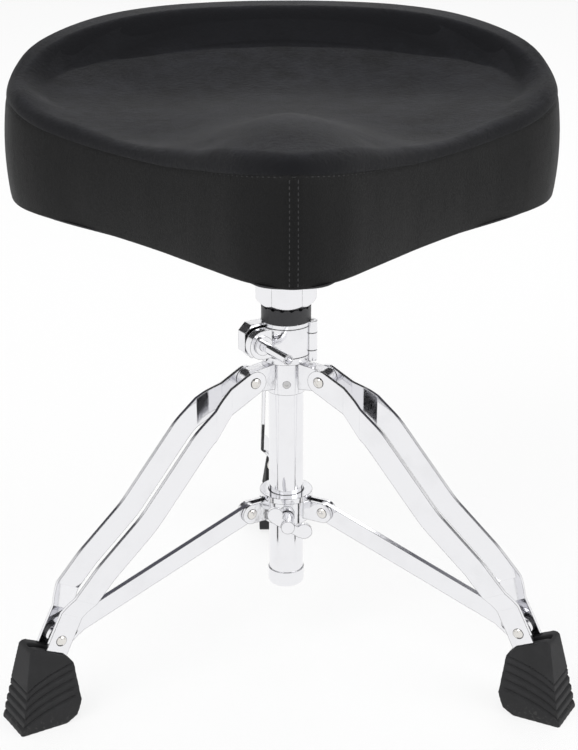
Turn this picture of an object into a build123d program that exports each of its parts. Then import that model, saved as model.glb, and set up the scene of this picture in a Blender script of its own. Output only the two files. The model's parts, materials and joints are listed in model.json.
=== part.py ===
"""Folding drum throne: a saddle-shaped seat on a telescoping post over a double-braced tripod.

Millimetres, +Z up, the seat's nose towards -Y and the rear leg towards +Y. Everything is built about
the main tube's axis and moved at the end, so that the origin is under the middle of the whole object.
"""
from build123d import *
import os
from math import asin, atan2, cos, degrees, radians, sin, sqrt, tan

# ---------------------------------------------------------------- tubes and post
TUBE_R = 14.3            # main tube, 1-1/8 in
TUBE_WALL = 1.6
TUBE_BOTTOM = 62.0
TUBE_TOP = 267.6
CAP_R = TUBE_R + 0.8
CAP_BOTTOM = 60.0
CAP_TOP = 74.0
CAP_SPIGOT = 8.0
POST_R = 11.1            # seat post, 7/8 in
POST_WALL = 1.6
POST_BOTTOM = 92.0
PLUG_HEIGHT = 10.0
PLUG_LIP = 2.0

# ---------------------------------------------------------------- clearances
RUN = 0.06               # radial, shaft in a hole
SLIDE_GAP = 0.08         # radial, tube in a tube
SEAT_GAP = 0.3           # between faces that rest on each other
SIDE_GAP = 0.4           # each side of a plate between two others
SOFT_GAP = 0.3           # round foam and cloth

# ---------------------------------------------------------------- legs
LEG_AZIMUTHS = {"left": 210.0, "right": 330.0, "rear": 90.0}
LEG_PIVOT = (TUBE_R + 20.2, 251.0)          # radius, height
FOOT_RIVET = (215.0, 69.5)
BAR_THICK = 3.0
BAR_DEPTH = 19.5
BAR_END_R = 9.75
BAR_ROUTE = [LEG_PIVOT, (64.0, 235.5), (88.0, 216.0), (139.0, 156.0), (178.0, 122.0),
             (200.0, 98.5), FOOT_RIVET, (225.5, 48.0)]
BAR_ROUTE_RADII = [40.0, 60.0, 90.0, 60.0, 40.0, 60.0]
BAR_TOP_OFFSET = 8.0               # middle of a bar from the leg's middle plane
BAR_MID_OFFSET = 16.5
BAR_FOOT_OFFSET = 7.75
TOP_JOGGLE = (57.0, 76.0)          # radii where the upper joggle starts and ends
BAR_SPLIT = 150.0
FOOT_JOGGLE_AT = (201.0, 96.0)
FOOT_JOGGLE_HALF = 8.0
RIVET_R = 3.0
RIVET_HEAD_R = 4.6
RIVET_HEAD_H = 1.8

# ---------------------------------------------------------------- rubber feet
FOOT_OUTER = 257.0
FOOT_TOP_OUTER = (242.0, 71.0)
FOOT_TOP_INNER = (213.0, 57.0)
FOOT_HEEL = [(207.0, 50.0), (203.5, 17.0), (208.0, 5.0), (217.0, 0.0)]
FOOT_HALF_WIDTH = 19.0
FOOT_TOP_HALF_WIDTH = 11.0
FOOT_DRAFT_FROM = 14.0
FOOT_SLOT_FLOOR = 42.0
FOOT_SLOT_REACH = 240.0
POCKET_GAP = 0.25

# ---------------------------------------------------------------- braces
COLLAR_PIVOT = (TUBE_R + 21.9, 133.0)
STRUT_THICK = 4.5
STRUT_DEPTH = 15.5
STRUT_TIP = 9.0                    # past the foot rivet
STRUT_SLOT = 14.0                  # lost motion of the open pivot, along the strut
STRUT_SLOT_DROP = 3.8              # and across it
STRUT_END_R = 11.0
SLOT_ROOM = 0.5                    # round the foot rivet in the strut's slot
LEG_FOLD = 38.0                    # degrees, open to folded
EAR_THICK = 2.5
EAR_R = 8.5
LINER_R = TUBE_R + 2.7
COLLAR_R = LINER_R + 2.5
COLLAR_BOTTOM = 121.0
COLLAR_TOP = 146.0
COLLAR_FLANGE_R = COLLAR_R + 2.5
COLLAR_FLANGE_H = 5.0
WASHER_R = 7.0
WING_Z = 132.0
WING_BOSS_R = 6.2
WING_BOSS_END = COLLAR_R + 7.0
WING_SHANK_R = 3.0
WING_HUB_R = 5.6
WING_HUB_START = WING_BOSS_END + 1.5
WING_HUB_END = WING_HUB_START + 19.0
WING_SPAN = 41.0
WING_TILT = 32.0
WING_THICK = 3.2

# ---------------------------------------------------------------- leg bracket and height clamp
BRACKET_R = TUBE_R + 6.2
BRACKET_TOP = 298.0
BRACKET_SHOULDER = 264.0
SLEEVE_R = TUBE_R + 1.4
SLEEVE_BOTTOM = 236.0
LUG_HALF = 6.1
LUG_R = 9.0
DOOR_BOTTOM = 269.8
DOOR_TOP = 294.2
DOOR_INNER_R = TUBE_R + 0.6
DOOR_GAP = 0.8
DOOR_END_AZ = 338.0
HINGE_AZ = -16.0
HINGE_REACH = TUBE_R + 7.0
KNUCKLE_R = 4.6
KNUCKLE_BOTTOM = 273.2
KNUCKLE_TOP = 287.8
HINGE_PIN_R = 1.6
CLAMP_AZ = 210.0
CLAMP_REACH = TUBE_R + 12.7
DOOR_LUG_R = 12.0
DOOR_LUG = (1.0, 8.5)              # from and to, along the clamp screw
FIXED_LUG = (-12.0, -1.4)
FIXED_LUG_REACH = CLAMP_REACH + 11.0
SCREW_R = 3.0
SCREW_HEAD_R = 4.2
SCREW_HEAD_END = 47.0
SCREW_COLLAR_R = 8.0
SCREW_SOCKET_R = 3.2
SCREW_SOCKET_DEPTH = 6.0
SCREW_NUT_R = 5.0
SCREW_NUT_H = 5.0
SCREW_PLAY = 1.0
SET_SCREW_Z = 245.6
SET_SCREW_R = 3.0

# ---------------------------------------------------------------- height bushing and hex collar
BUSHING_R = TUBE_R + 6.0
BUSHING_TOP = 310.6
BUSHING_BOTTOM = 240.0
SCALLOPS = 16
SCALLOP_R = 2.2
HEX_BOTTOM = 311.0
HEX_TOP = 333.0
HEX_FLATS = 42.6
HEX_CHAMFER = 4.0

# ---------------------------------------------------------------- seat
SEAT_BOTTOM = 380.0
SEAT_HALF_WIDTH = 226.0
SEAT_FRONT = 170.0
SEAT_BACK = 199.0
SEAT_WIDEST_Y = 88.0
NOSE = (33.0, 17.0)                # half width, and how far behind the tip
NOSE_FLANK = (62.0, -121.0)
THIGH = (124.0, -50.0)
HIP = (198.0, 20.0)
REAR_CORNER = (192.0, 152.0)
REAR_FLANK = (105.0, 190.0)
SEAM_FRONT_Z = SEAT_BOTTOM + 86.0
POMMEL = (-85.0, SEAT_BOTTOM + 107.0)
POMMEL_TAIL = (-45.0, SEAT_BOTTOM + 94.0)
DISH = (5.0, SEAT_BOTTOM + 85.0)
DISH_BACK = (70.0, SEAT_BOTTOM + 87.0)
RIM_FOOT = (135.0, SEAT_BOTTOM + 110.0)
RIM_TOP = (186.0, SEAT_BOTTOM + 141.0)
RIM_BACK_Z = SEAT_BOTTOM + 132.0
COVER_THICK = 2.0
UNDER_COVER_THICK = 1.0
BOARD_THICK = 12.0
BOARD_INSET = 12.0
HUB_R = 21.0
HUB_BOTTOM = 333.6
HUB_FLANGE = 104.0
HUB_FLANGE_H = 5.0
HUB_WEB_H = 26.0
HUB_BOLT_SPACING = 78.0
HUB_BOLT_R = 3.0
HUB_BOLT_HEAD_R = 5.8
HUB_BOLT_HEAD_H = 4.0
TEE_NUT_R = 9.0
TEE_NUT_H = 1.5
PINCH_Z = 352.0
PINCH_R = 3.0
PINCH_HEAD = 7.0


# ================================================================ helpers
def ring(outer, inner, bottom, top):
    """Upright tube from bottom to top."""
    body = Pos(0, 0, (bottom + top) / 2) * Cylinder(outer, top - bottom)
    return body - Pos(0, 0, (bottom + top) / 2) * Cylinder(inner, top - bottom + 2)


def disc(radius, bottom, top):
    """Upright solid cylinder from bottom to top."""
    return Pos(0, 0, (bottom + top) / 2) * Cylinder(radius, top - bottom)


def cross_pin(x, z, radius, start, end):
    """Cylinder along Y from start to end, centred on (x, z)."""
    return Pos(x, (start + end) / 2, z) * Rot(90, 0, 0) * Cylinder(radius, abs(end - start))


def radial_pin(radius, start, end, z):
    """Cylinder along X from start to end, at height z."""
    return Pos((start + end) / 2, 0, z) * Rot(0, 90, 0) * Cylinder(radius, abs(end - start))


def block(x0, x1, y0, y1, z0, z1):
    """Box between two corners."""
    return Pos((x0 + x1) / 2, (y0 + y1) / 2, (z0 + z1) / 2) * Box(x1 - x0, y1 - y0, z1 - z0)


def upright_face(points):
    """Closed polygon in the X-Z plane, given as (x, z)."""
    outline = Polyline(*[(x, 0, z) for x, z in points], close=True)
    return make_face(outline)


def upright_slab(points, start, end):
    """The polygon (x, z) carried along Y from start to end."""
    slab = extrude(upright_face(points), amount=end - start, dir=(0, 1, 0))
    return Pos(0, start, 0) * slab


def turned(shape, azimuth):
    """A piece built along +X, turned to an azimuth about the main tube."""
    return Rot(0, 0, azimuth) * shape


def both_sides(shape):
    """The piece and its mirror image across the leg's middle plane."""
    return [shape, mirror(shape, about=Plane.XZ)]


def domed_rivet(x, z, half_length):
    """A shank along Y with a domed head on each end."""
    shank = cross_pin(x, z, RIVET_R, -half_length, half_length)
    dome_r = (RIVET_HEAD_R ** 2 + RIVET_HEAD_H ** 2) / (2 * RIVET_HEAD_H)
    head = Pos(x, half_length + RIVET_HEAD_H - dome_r, z) * Sphere(dome_r)
    head &= block(x - 20, x + 20, half_length, half_length + 20, z - 20, z + 20)
    for piece in both_sides(head):
        shank += piece
    return shank


# ================================================================ legs
def bar_band(depth):
    """The bar's side view, swept along its route and far wider than the leg."""
    corners = [(x, 0, z) for x, z in BAR_ROUTE]
    route = FilletPolyline(*corners, radius=BAR_ROUTE_RADII)
    section = Plane(origin=route @ 0, x_dir=(0, 1, 0), z_dir=route % 0) * Rectangle(60, depth)
    band = sweep(section, path=route)
    x, z = LEG_PIVOT
    return band + cross_pin(x, z, depth / 2, -30, 30)


def bar_solid(grow=0.0):
    """One bar of a leg, on the +Y side; grow thickens it all round, for the pocket it fits."""
    half = BAR_THICK / 2 + grow
    band = bar_band(BAR_DEPTH + 2 * grow)
    near, far = TOP_JOGGLE
    top, mid, foot = BAR_TOP_OFFSET, BAR_MID_OFFSET, BAR_FOOT_OFFSET
    upper_line = [(0, top), (near, top), (far, mid), (BAR_SPLIT, mid)]
    edge = [(x, y - half) for x, y in upper_line] + [(x, y + half) for x, y in reversed(upper_line)]
    upper = extrude(make_face(Polyline(*edge, close=True)), amount=400)

    x0, z0 = BAR_ROUTE[-3]
    x1, z1 = BAR_ROUTE[-2]
    lean = degrees(atan2(z1 - z0, x1 - x0))
    ramp = FOOT_JOGGLE_HALF
    lower_line = [(-110, mid), (-ramp, mid), (ramp, foot), (80, foot)]
    edge = [(u, y - half) for u, y in lower_line] + [(u, y + half) for u, y in reversed(lower_line)]
    sheet = extrude(make_face(Polyline(*edge, close=True)), amount=60, both=True)
    x, z = FOOT_JOGGLE_AT
    lower = Pos(x, 0, z) * Rot(0, -lean, 0) * sheet

    upper_part = band & upper
    lower_part = (band & lower) - block(0, BAR_SPLIT, -40, 40, 0, 400)
    return upper_part + lower_part


def leg_bar():
    bar = bar_solid()
    x, z = LEG_PIVOT
    bar -= cross_pin(x, z, RIVET_R + RUN, -30, 30)
    x, z = FOOT_RIVET
    return bar - cross_pin(x, z, RIVET_R + RUN, -30, 30)


def leg_rivet():
    """Leg pivot, through both bars and the bracket's lug."""
    x, z = LEG_PIVOT
    return domed_rivet(x, z, BAR_TOP_OFFSET + BAR_THICK / 2 + SEAT_GAP)


def foot_rivet():
    """Foot pivot, through both bars, two washers and the strut's slotted end."""
    x, z = FOOT_RIVET
    return domed_rivet(x, z, BAR_FOOT_OFFSET + BAR_THICK / 2 + RUN)


def foot_washers():
    """Two washers that keep the strut in the middle between the bars."""
    x, z = FOOT_RIVET
    start = STRUT_THICK / 2 + SIDE_GAP
    end = BAR_FOOT_OFFSET - BAR_THICK / 2 - RUN
    washer = cross_pin(x, z, WASHER_R, start, end) - cross_pin(x, z, RIVET_R + RUN, start - 1, end + 1)
    return both_sides(washer)


def rubber_foot():
    outline = [(FOOT_OUTER, 0), FOOT_TOP_OUTER, FOOT_TOP_INNER] + FOOT_HEEL
    face = upright_face(outline)
    rounded = fillet(face.vertices().filter_by_position(Axis.Z, 1, 100), radius=4)
    half = FOOT_HALF_WIDTH
    foot = Pos(0, half, 0) * extrude(rounded, amount=2 * half, dir=(0, -1, 0))
    top_z = FOOT_TOP_OUTER[1]
    reach_z = top_z + 30
    slope = (FOOT_HALF_WIDTH - FOOT_TOP_HALF_WIDTH) / (top_z - FOOT_DRAFT_FROM)
    top_half = half - slope * (reach_z - FOOT_DRAFT_FROM)
    shape = [(-half, -1), (half, -1), (half, FOOT_DRAFT_FROM), (top_half, reach_z),
             (-top_half, reach_z), (-half, FOOT_DRAFT_FROM)]
    end_view = make_face(Polyline(*[(0, y, z) for y, z in shape], close=True))
    foot &= Pos(150, 0, 0) * extrude(end_view, amount=150, dir=(1, 0, 0))
    pocket = bar_solid(POCKET_GAP)
    for piece in both_sides(pocket):
        foot -= piece
    slot_half = STRUT_THICK / 2 + 3 * SIDE_GAP
    foot -= block(180, FOOT_SLOT_REACH, -slot_half, slot_half, FOOT_SLOT_FLOOR, 100)
    return foot


# ================================================================ braces
def strut_angle():
    """How far the strut drops below level, in degrees."""
    dx = FOOT_RIVET[0] - COLLAR_PIVOT[0]
    dz = COLLAR_PIVOT[1] - FOOT_RIVET[1]
    return degrees(atan2(dz, dx))


def brace_angles(fold):
    """Leg pivot to foot rivet distance, then where the rivet, collar and strut stand after a fold."""
    reach = sqrt((FOOT_RIVET[0] - LEG_PIVOT[0]) ** 2 + (LEG_PIVOT[1] - FOOT_RIVET[1]) ** 2)
    start = atan2(LEG_PIVOT[1] - FOOT_RIVET[1], FOOT_RIVET[0] - LEG_PIVOT[0])
    rivet = (LEG_PIVOT[0] + reach * cos(start + fold), LEG_PIVOT[1] - reach * sin(start + fold))
    dx = rivet[0] - COLLAR_PIVOT[0]
    length = strut_length()
    collar_z = rivet[1] + sqrt(length * length - dx * dx)
    return rivet, collar_z, atan2(collar_z - rivet[1], dx)


def rivet_path(steps=19):
    """Where the foot rivet stands in the level strut while collar and strut move evenly with the leg."""
    full = radians(LEG_FOLD)
    _, z0, angle0 = brace_angles(0)
    _, z1, angle1 = brace_angles(full)
    points = []
    for i in range(steps + 1):
        part = i / steps
        rivet = brace_angles(part * full)[0]
        dx = rivet[0] - COLLAR_PIVOT[0]
        dz = rivet[1] - (z0 + part * (z1 - z0))
        angle = angle0 + part * (angle1 - angle0)
        points.append((dx * cos(angle) - dz * sin(angle), dx * sin(angle) + dz * cos(angle)))
    return points


def strut_length():
    return sqrt((FOOT_RIVET[0] - COLLAR_PIVOT[0]) ** 2 + (COLLAR_PIVOT[1] - FOOT_RIVET[1]) ** 2)


def strut():
    """Flat brace with a slotted lower end, built level from its collar pivot and then tilted."""
    length = strut_length()
    half = STRUT_THICK / 2
    deep = STRUT_DEPTH / 2
    x0, x1 = length - STRUT_SLOT, length + STRUT_TIP - STRUT_END_R
    low, high = -STRUT_SLOT_DROP / 2 - STRUT_END_R, STRUT_END_R - STRUT_SLOT_DROP / 2
    body = block(0, x0, -half, half, -deep, deep)
    body += cross_pin(0, 0, deep, -half, half)
    body += cross_pin(x1, -STRUT_SLOT_DROP / 2, STRUT_END_R, -half, half)
    body += upright_slab([(x0 - 8, deep), (x1, high), (x1, low), (x0 - 8, -deep)], -half, half)
    body -= cross_pin(0, 0, RIVET_R + RUN, -10, 10)
    circles = [Pos(x, z) * CenterArc((0, 0), RIVET_R + SLOT_ROOM, 0, 360) for x, z in rivet_path()]
    slot = make_hull(circles)
    body -= Pos(0, 10, 0) * Rot(90, 0, 0) * extrude(slot, amount=20)
    return Pos(COLLAR_PIVOT[0], 0, COLLAR_PIVOT[1]) * Rot(0, strut_angle(), 0) * body


def ear_offsets():
    start = STRUT_THICK / 2 + SIDE_GAP
    return start, start + EAR_THICK


def brace_collar():
    """Sliding collar: a short sleeve with a flange, three pairs of ears and a boss for the wing bolt."""
    body = ring(COLLAR_R, LINER_R + RUN, COLLAR_BOTTOM, COLLAR_TOP - COLLAR_FLANGE_H)
    body += ring(COLLAR_FLANGE_R, TUBE_R + 0.6, COLLAR_TOP - COLLAR_FLANGE_H, COLLAR_TOP)
    start, end = ear_offsets()
    x, z = COLLAR_PIVOT
    inner = LINER_R + 1.0
    for azimuth in LEG_AZIMUTHS.values():
        ear = cross_pin(x, z, EAR_R, start, end)
        ear += block(inner, x, start, end, z - EAR_R, z + EAR_R)
        ear -= cross_pin(x, z, RIVET_R + RUN, start - 1, end + 1)
        for piece in both_sides(ear):
            body += turned(piece, azimuth)
    body += turned(radial_pin(WING_BOSS_R, LINER_R + 1.0, WING_BOSS_END, WING_Z), 270)
    return body - turned(radial_pin(WING_SHANK_R + RUN, 0, WING_BOSS_END + 1, WING_Z), 270)


def collar_liner():
    """Plastic liner that slides on the main tube."""
    liner = ring(LINER_R, TUBE_R + SLIDE_GAP, COLLAR_BOTTOM, COLLAR_TOP - COLLAR_FLANGE_H - RUN)
    return liner - turned(radial_pin(WING_SHANK_R + RUN, 0, LINER_R + 1, WING_Z), 270)


def ear_rivets():
    """One pivot pin through each pair of ears."""
    x, z = COLLAR_PIVOT
    half = ear_offsets()[1] + RUN
    return [turned(domed_rivet(x, z, half), azimuth) for azimuth in LEG_AZIMUTHS.values()]


def wing_bolt():
    """Built along +X and turned to the front."""
    bolt = radial_pin(WING_SHANK_R, TUBE_R + SEAT_GAP, WING_HUB_START, WING_Z)
    bolt += radial_pin(WING_HUB_R, WING_HUB_START, WING_HUB_END, WING_Z)
    x0, x1 = WING_HUB_END - WING_THICK - 3, WING_HUB_END - 3
    lobe_r = 6.5
    lobe_y = WING_SPAN / 2 - lobe_r
    wings = radial_pin(lobe_r, x0, x1, 0).translate((0, lobe_y, 3))
    wings += radial_pin(lobe_r, x0, x1, 0).translate((0, -lobe_y, 3))
    wings += block(x0, x1, -lobe_y, lobe_y, -4, 4)
    bolt += Pos(0, 0, WING_Z) * Rot(-WING_TILT, 0, 0) * wings
    return turned(bolt, 270)


# ================================================================ base column
def main_tube():
    return ring(TUBE_R, TUBE_R - TUBE_WALL, TUBE_BOTTOM, TUBE_TOP)


def tube_end_cap():
    cap = disc(CAP_R, CAP_BOTTOM, CAP_TOP)
    cap = fillet(cap.edges().sort_by(Axis.Z)[0], 3.5)
    cap -= disc(TUBE_R + RUN, TUBE_BOTTOM, CAP_TOP + 1)
    return cap + ring(TUBE_R - TUBE_WALL - RUN, TUBE_R - 2 * TUBE_WALL, TUBE_BOTTOM - 0.5, TUBE_BOTTOM + CAP_SPIGOT)


def hinge_axis_pin(radius, bottom, top):
    """Upright cylinder on the clamp hinge's axis."""
    x = HINGE_REACH * cos(radians(HINGE_AZ))
    y = HINGE_REACH * sin(radians(HINGE_AZ))
    return Pos(x, y, 0) * disc(radius, bottom, top)


def front_sector(inner, outer, bottom, top, start_y, end_az):
    """Part of a ring, from start_y past the clamp's plane round the front to end_az."""
    body = ring(outer, inner, bottom, top)
    keep = turned(block(-60, 60, start_y, 60, bottom - 1, top + 1), CLAMP_AZ)
    body &= keep
    cut = turned(block(-60, 60, 0, 60, bottom - 1, top + 1), end_az)
    return body - cut


def clamp_door():
    """Hinged front jaw of the height clamp, with its knuckle and its screw lug."""
    door = front_sector(DOOR_INNER_R, BRACKET_R, DOOR_BOTTOM, DOOR_TOP, DOOR_LUG[0], DOOR_END_AZ)
    start, end = DOOR_LUG
    mid_z = (DOOR_BOTTOM + DOOR_TOP) / 2
    lug = block(DOOR_INNER_R + 0.6, CLAMP_REACH, start, end, DOOR_BOTTOM, DOOR_TOP)
    lug += cross_pin(CLAMP_REACH, mid_z, DOOR_LUG_R, start, end)
    lug &= block(0, 60, start - 1, end + 1, DOOR_BOTTOM, DOOR_TOP)
    door += turned(lug, CLAMP_AZ)
    door += hinge_axis_pin(KNUCKLE_R, KNUCKLE_BOTTOM, KNUCKLE_TOP) - disc(DOOR_INNER_R, DOOR_BOTTOM, DOOR_TOP)
    door -= hinge_axis_pin(KNUCKLE_R + SIDE_GAP, DOOR_BOTTOM - 1, KNUCKLE_BOTTOM)
    door -= hinge_axis_pin(KNUCKLE_R + SIDE_GAP, KNUCKLE_TOP, DOOR_TOP + 1)
    door -= hinge_axis_pin(HINGE_PIN_R + RUN, DOOR_BOTTOM, DOOR_TOP)
    door -= turned(cross_pin(CLAMP_REACH, mid_z, SCREW_R + RUN, start - 10, end + 1), CLAMP_AZ)
    return door


def bracket_lug():
    """Lug for one leg, built along +X."""
    x, z = LEG_PIVOT
    lug = cross_pin(x, z, LUG_R, -LUG_HALF, LUG_HALF)
    lug += upright_slab([(10, z + LUG_R + 3), (x, z + LUG_R), (x, z - LUG_R), (10, z - LUG_R - 2)],
                        -LUG_HALF, LUG_HALF)
    return lug - cross_pin(x, z, RIVET_R + RUN, -20, 20)


def leg_bracket():
    """Cast head of the tripod: sleeve, three leg lugs, and the back half of the height clamp."""
    mid_z = (DOOR_BOTTOM + DOOR_TOP) / 2
    body = disc(BRACKET_R, BRACKET_SHOULDER, BRACKET_TOP) + disc(SLEEVE_R, SLEEVE_BOTTOM, BRACKET_SHOULDER + 1)
    for azimuth in LEG_AZIMUTHS.values():
        body += turned(bracket_lug(), azimuth)
    body += hinge_axis_pin(KNUCKLE_R, BRACKET_SHOULDER, BRACKET_TOP)
    start, end = FIXED_LUG
    lug = block(10, FIXED_LUG_REACH, start, end, DOOR_BOTTOM - 1, BRACKET_TOP - 1)
    lug = chamfer(lug.edges().filter_by(Axis.Y).sort_by(Axis.X)[-2:], 6)
    body += turned(lug, CLAMP_AZ)
    body -= disc(TUBE_R + RUN, SLEEVE_BOTTOM - 1, BRACKET_TOP + 1)
    window = front_sector(TUBE_R - 1, BRACKET_R + 12, DOOR_BOTTOM - SIDE_GAP, DOOR_TOP + SIDE_GAP,
                          FIXED_LUG[1], DOOR_END_AZ + 3)
    window -= hinge_axis_pin(KNUCKLE_R, BRACKET_SHOULDER, KNUCKLE_BOTTOM - SIDE_GAP)
    window -= hinge_axis_pin(KNUCKLE_R, KNUCKLE_TOP + SIDE_GAP, BRACKET_TOP)
    body -= window
    body -= hinge_axis_pin(KNUCKLE_R + SIDE_GAP, KNUCKLE_BOTTOM - SIDE_GAP, KNUCKLE_TOP + SIDE_GAP)
    body -= hinge_axis_pin(HINGE_PIN_R + RUN, 0, 400)
    body -= turned(cross_pin(CLAMP_REACH, mid_z, SCREW_R + SCREW_PLAY, start - 1, end + 1), CLAMP_AZ)
    nut_room = SCREW_NUT_R + SEAT_GAP
    body -= turned(cross_pin(CLAMP_REACH, mid_z, nut_room, start - 1, start + SCREW_NUT_H), CLAMP_AZ)
    body -= turned(radial_pin(SET_SCREW_R + RUN, TUBE_R - 1, 30, SET_SCREW_Z), 270)
    return body


def clamp_screw():
    """Clamp screw with a long barrel head, along the clamp's axis."""
    mid_z = (DOOR_BOTTOM + DOOR_TOP) / 2
    start = FIXED_LUG[0] + 0.5
    end = DOOR_LUG[1] + SEAT_GAP
    screw = cross_pin(CLAMP_REACH, mid_z, SCREW_R, start, end)
    screw += cross_pin(CLAMP_REACH, mid_z, SCREW_COLLAR_R, end, end + 1.6)
    barrel = cross_pin(CLAMP_REACH, mid_z, SCREW_HEAD_R, end, SCREW_HEAD_END)
    barrel -= cross_pin(CLAMP_REACH, mid_z, SCREW_SOCKET_R, SCREW_HEAD_END - SCREW_SOCKET_DEPTH, SCREW_HEAD_END + 1)
    return turned(screw + barrel, CLAMP_AZ)


def clamp_nut():
    mid_z = (DOOR_BOTTOM + DOOR_TOP) / 2
    start = FIXED_LUG[0]
    nut = cross_pin(CLAMP_REACH, mid_z, SCREW_NUT_R, start, start + SCREW_NUT_H - SEAT_GAP)
    nut -= cross_pin(CLAMP_REACH, mid_z, SCREW_R + SCREW_PLAY, start - 1, start + SCREW_NUT_H + 1)
    return turned(nut, CLAMP_AZ)


def clamp_hinge_pin():
    return hinge_axis_pin(HINGE_PIN_R, BRACKET_SHOULDER, BRACKET_TOP)


def bracket_set_screw():
    """Headless screw that locks the bracket to the main tube, with a hex socket."""
    screw = radial_pin(SET_SCREW_R, TUBE_R + RUN, SLEEVE_R - 0.1, SET_SCREW_Z)
    socket = Pos(SLEEVE_R, 0, SET_SCREW_Z) * Rot(0, 90, 0) * extrude(RegularPolygon(1.6, 6), amount=1, both=True)
    return turned(screw - socket, 270)


def height_bushing():
    """Plastic bushing that guides the post, with a scalloped ring on top of the bracket."""
    bore = POST_R + SLIDE_GAP
    body = ring(TUBE_R, bore, TUBE_TOP + SEAT_GAP, BRACKET_TOP + SEAT_GAP)
    body += ring(TUBE_R - TUBE_WALL - RUN, bore, BUSHING_BOTTOM, TUBE_TOP + 1)
    body += ring(BUSHING_R, bore, BRACKET_TOP + SEAT_GAP / 2, BUSHING_TOP)
    step = 360 / SCALLOPS
    for index in range(SCALLOPS):
        notch = radial_pin(SCALLOP_R, BUSHING_R - 3.5, BUSHING_R + 2, BUSHING_TOP + 0.9)
        body -= turned(notch, 270 + (index + 0.5) * step)
    return body


# ================================================================ seat post
def post_top():
    return SEAT_BOTTOM - HUB_FLANGE_H - 3.0


def seat_post():
    return ring(POST_R, POST_R - POST_WALL, POST_BOTTOM, post_top())


def post_plug():
    """Plastic plug in the post's lower end."""
    plug = disc(POST_R - POST_WALL - RUN, POST_BOTTOM, POST_BOTTOM + PLUG_HEIGHT)
    return plug + disc(POST_R - 0.4, POST_BOTTOM - PLUG_LIP, POST_BOTTOM)


def hex_collar():
    """Hexagonal height collar, fixed on the post; a flat faces the front."""
    across = HEX_FLATS / 2 / cos(radians(30))
    body = Pos(0, 0, HEX_BOTTOM) * extrude(RegularPolygon(across, 6), amount=HEX_TOP - HEX_BOTTOM)
    cone_top = HEX_BOTTOM + HEX_CHAMFER
    cone = Pos(0, 0, (HEX_BOTTOM + cone_top) / 2) * Cone(across - 4.6, across + 0.1, HEX_CHAMFER)
    body &= cone + disc(across + 1, cone_top - 0.01, HEX_TOP)
    body -= disc(POST_R + RUN, HEX_BOTTOM - 1, HEX_TOP + 1)
    return body - turned(radial_pin(SET_SCREW_R + RUN, POST_R - 1, 30, (HEX_BOTTOM + HEX_TOP) / 2), 90)


def hex_collar_screw():
    """Square-headed key screw at the back of the hex collar."""
    mid = (HEX_BOTTOM + HEX_TOP) / 2
    screw = radial_pin(SET_SCREW_R, POST_R + RUN, HEX_FLATS / 2 + 3, mid)
    head = Pos(HEX_FLATS / 2 + 5.5, 0, mid) * Box(7, 5.5, 5.5)
    return turned(screw + head, 90)


# ================================================================ seat
def drawn_in(before, here, after, inset):
    """A point of an anticlockwise outline, moved inwards square to its neighbours."""
    dx, dy = after[0] - before[0], after[1] - before[1]
    length = sqrt(dx * dx + dy * dy)
    return here[0] - inset * dy / length, here[1] + inset * dx / length


def seat_outline(inset):
    """The seat's plan, symmetric about X = 0, drawn in by inset all round."""
    points = [(0, -SEAT_FRONT), (NOSE[0], -SEAT_FRONT + NOSE[1]), NOSE_FLANK, THIGH, HIP,
              (SEAT_HALF_WIDTH, SEAT_WIDEST_Y), REAR_CORNER, REAR_FLANK, (0, SEAT_BACK)]
    right = [(0, -SEAT_FRONT + inset)]
    right += [drawn_in(*three, inset) for three in zip(points, points[1:], points[2:])]
    right.append((0, SEAT_BACK - inset))
    left = [(-x, y) for x, y in right]
    return make_face([Spline(*right, tangents=[(1, 0), (-1, 0)], tangent_scalars=[2, 2]),
                      Spline(*left, tangents=[(-1, 0), (1, 0)], tangent_scalars=[2, 2])])


def seat_prism(inset, bottom, top):
    return Pos(0, 0, bottom) * extrude(seat_outline(inset), amount=top - bottom)


def below_top(drop):
    """Everything under the seat's top line, which rises at the pommel and at the back rim."""
    front, back = -SEAT_FRONT - 5, SEAT_BACK + 5
    top = [(front, SEAM_FRONT_Z), (-SEAT_FRONT + 12, SEAM_FRONT_Z + 1), POMMEL, POMMEL_TAIL, DISH, DISH_BACK,
           RIM_FOOT, RIM_TOP, (back, RIM_BACK_Z)]
    line = Spline(*[(0, y, z - drop) for y, z in top])
    base = Polyline((0, back, RIM_BACK_Z - drop), (0, back, 300), (0, front, 300), (0, front, SEAM_FRONT_Z - drop))
    face = make_face(line + base)
    wide = SEAT_HALF_WIDTH + 20
    return Pos(-wide, 0, 0) * extrude(face, amount=2 * wide, dir=(1, 0, 0))


def board_bottom():
    return SEAT_BOTTOM + UNDER_COVER_THICK + SEAT_GAP


def board_top():
    return board_bottom() + BOARD_THICK


def hub_bolt_places():
    half = HUB_BOLT_SPACING / 2
    return [(x, y) for x in (-half, half) for y in (-half, half)]


def seat_board():
    board = seat_prism(BOARD_INSET, board_bottom(), board_top())
    for x, y in hub_bolt_places():
        board -= Pos(x, y, 0) * disc(HUB_BOLT_R + 1.4, board_bottom() - 1, board_top() + 1)
    return board


def seat_foam():
    bottom = board_top() + SOFT_GAP
    inset = COVER_THICK + 2 * SOFT_GAP
    foam = seat_prism(inset, bottom, RIM_TOP[1] + 10) & below_top(inset)
    for x, y in hub_bolt_places():
        foam -= Pos(x, y, 0) * disc(TEE_NUT_R + 1, bottom - 1, bottom + TEE_NUT_H + 3)
    return foam


def top_cover():
    upper = seat_prism(0, SEAM_FRONT_Z - 30, RIM_TOP[1] + 10) & below_top(0)
    return upper - below_top(COVER_THICK)


def side_band():
    shell = seat_prism(0, SEAT_BOTTOM, RIM_TOP[1] + 10) - seat_prism(COVER_THICK, SEAT_BOTTOM - 1, RIM_TOP[1] + 11)
    return shell & below_top(COVER_THICK + SOFT_GAP)


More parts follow.
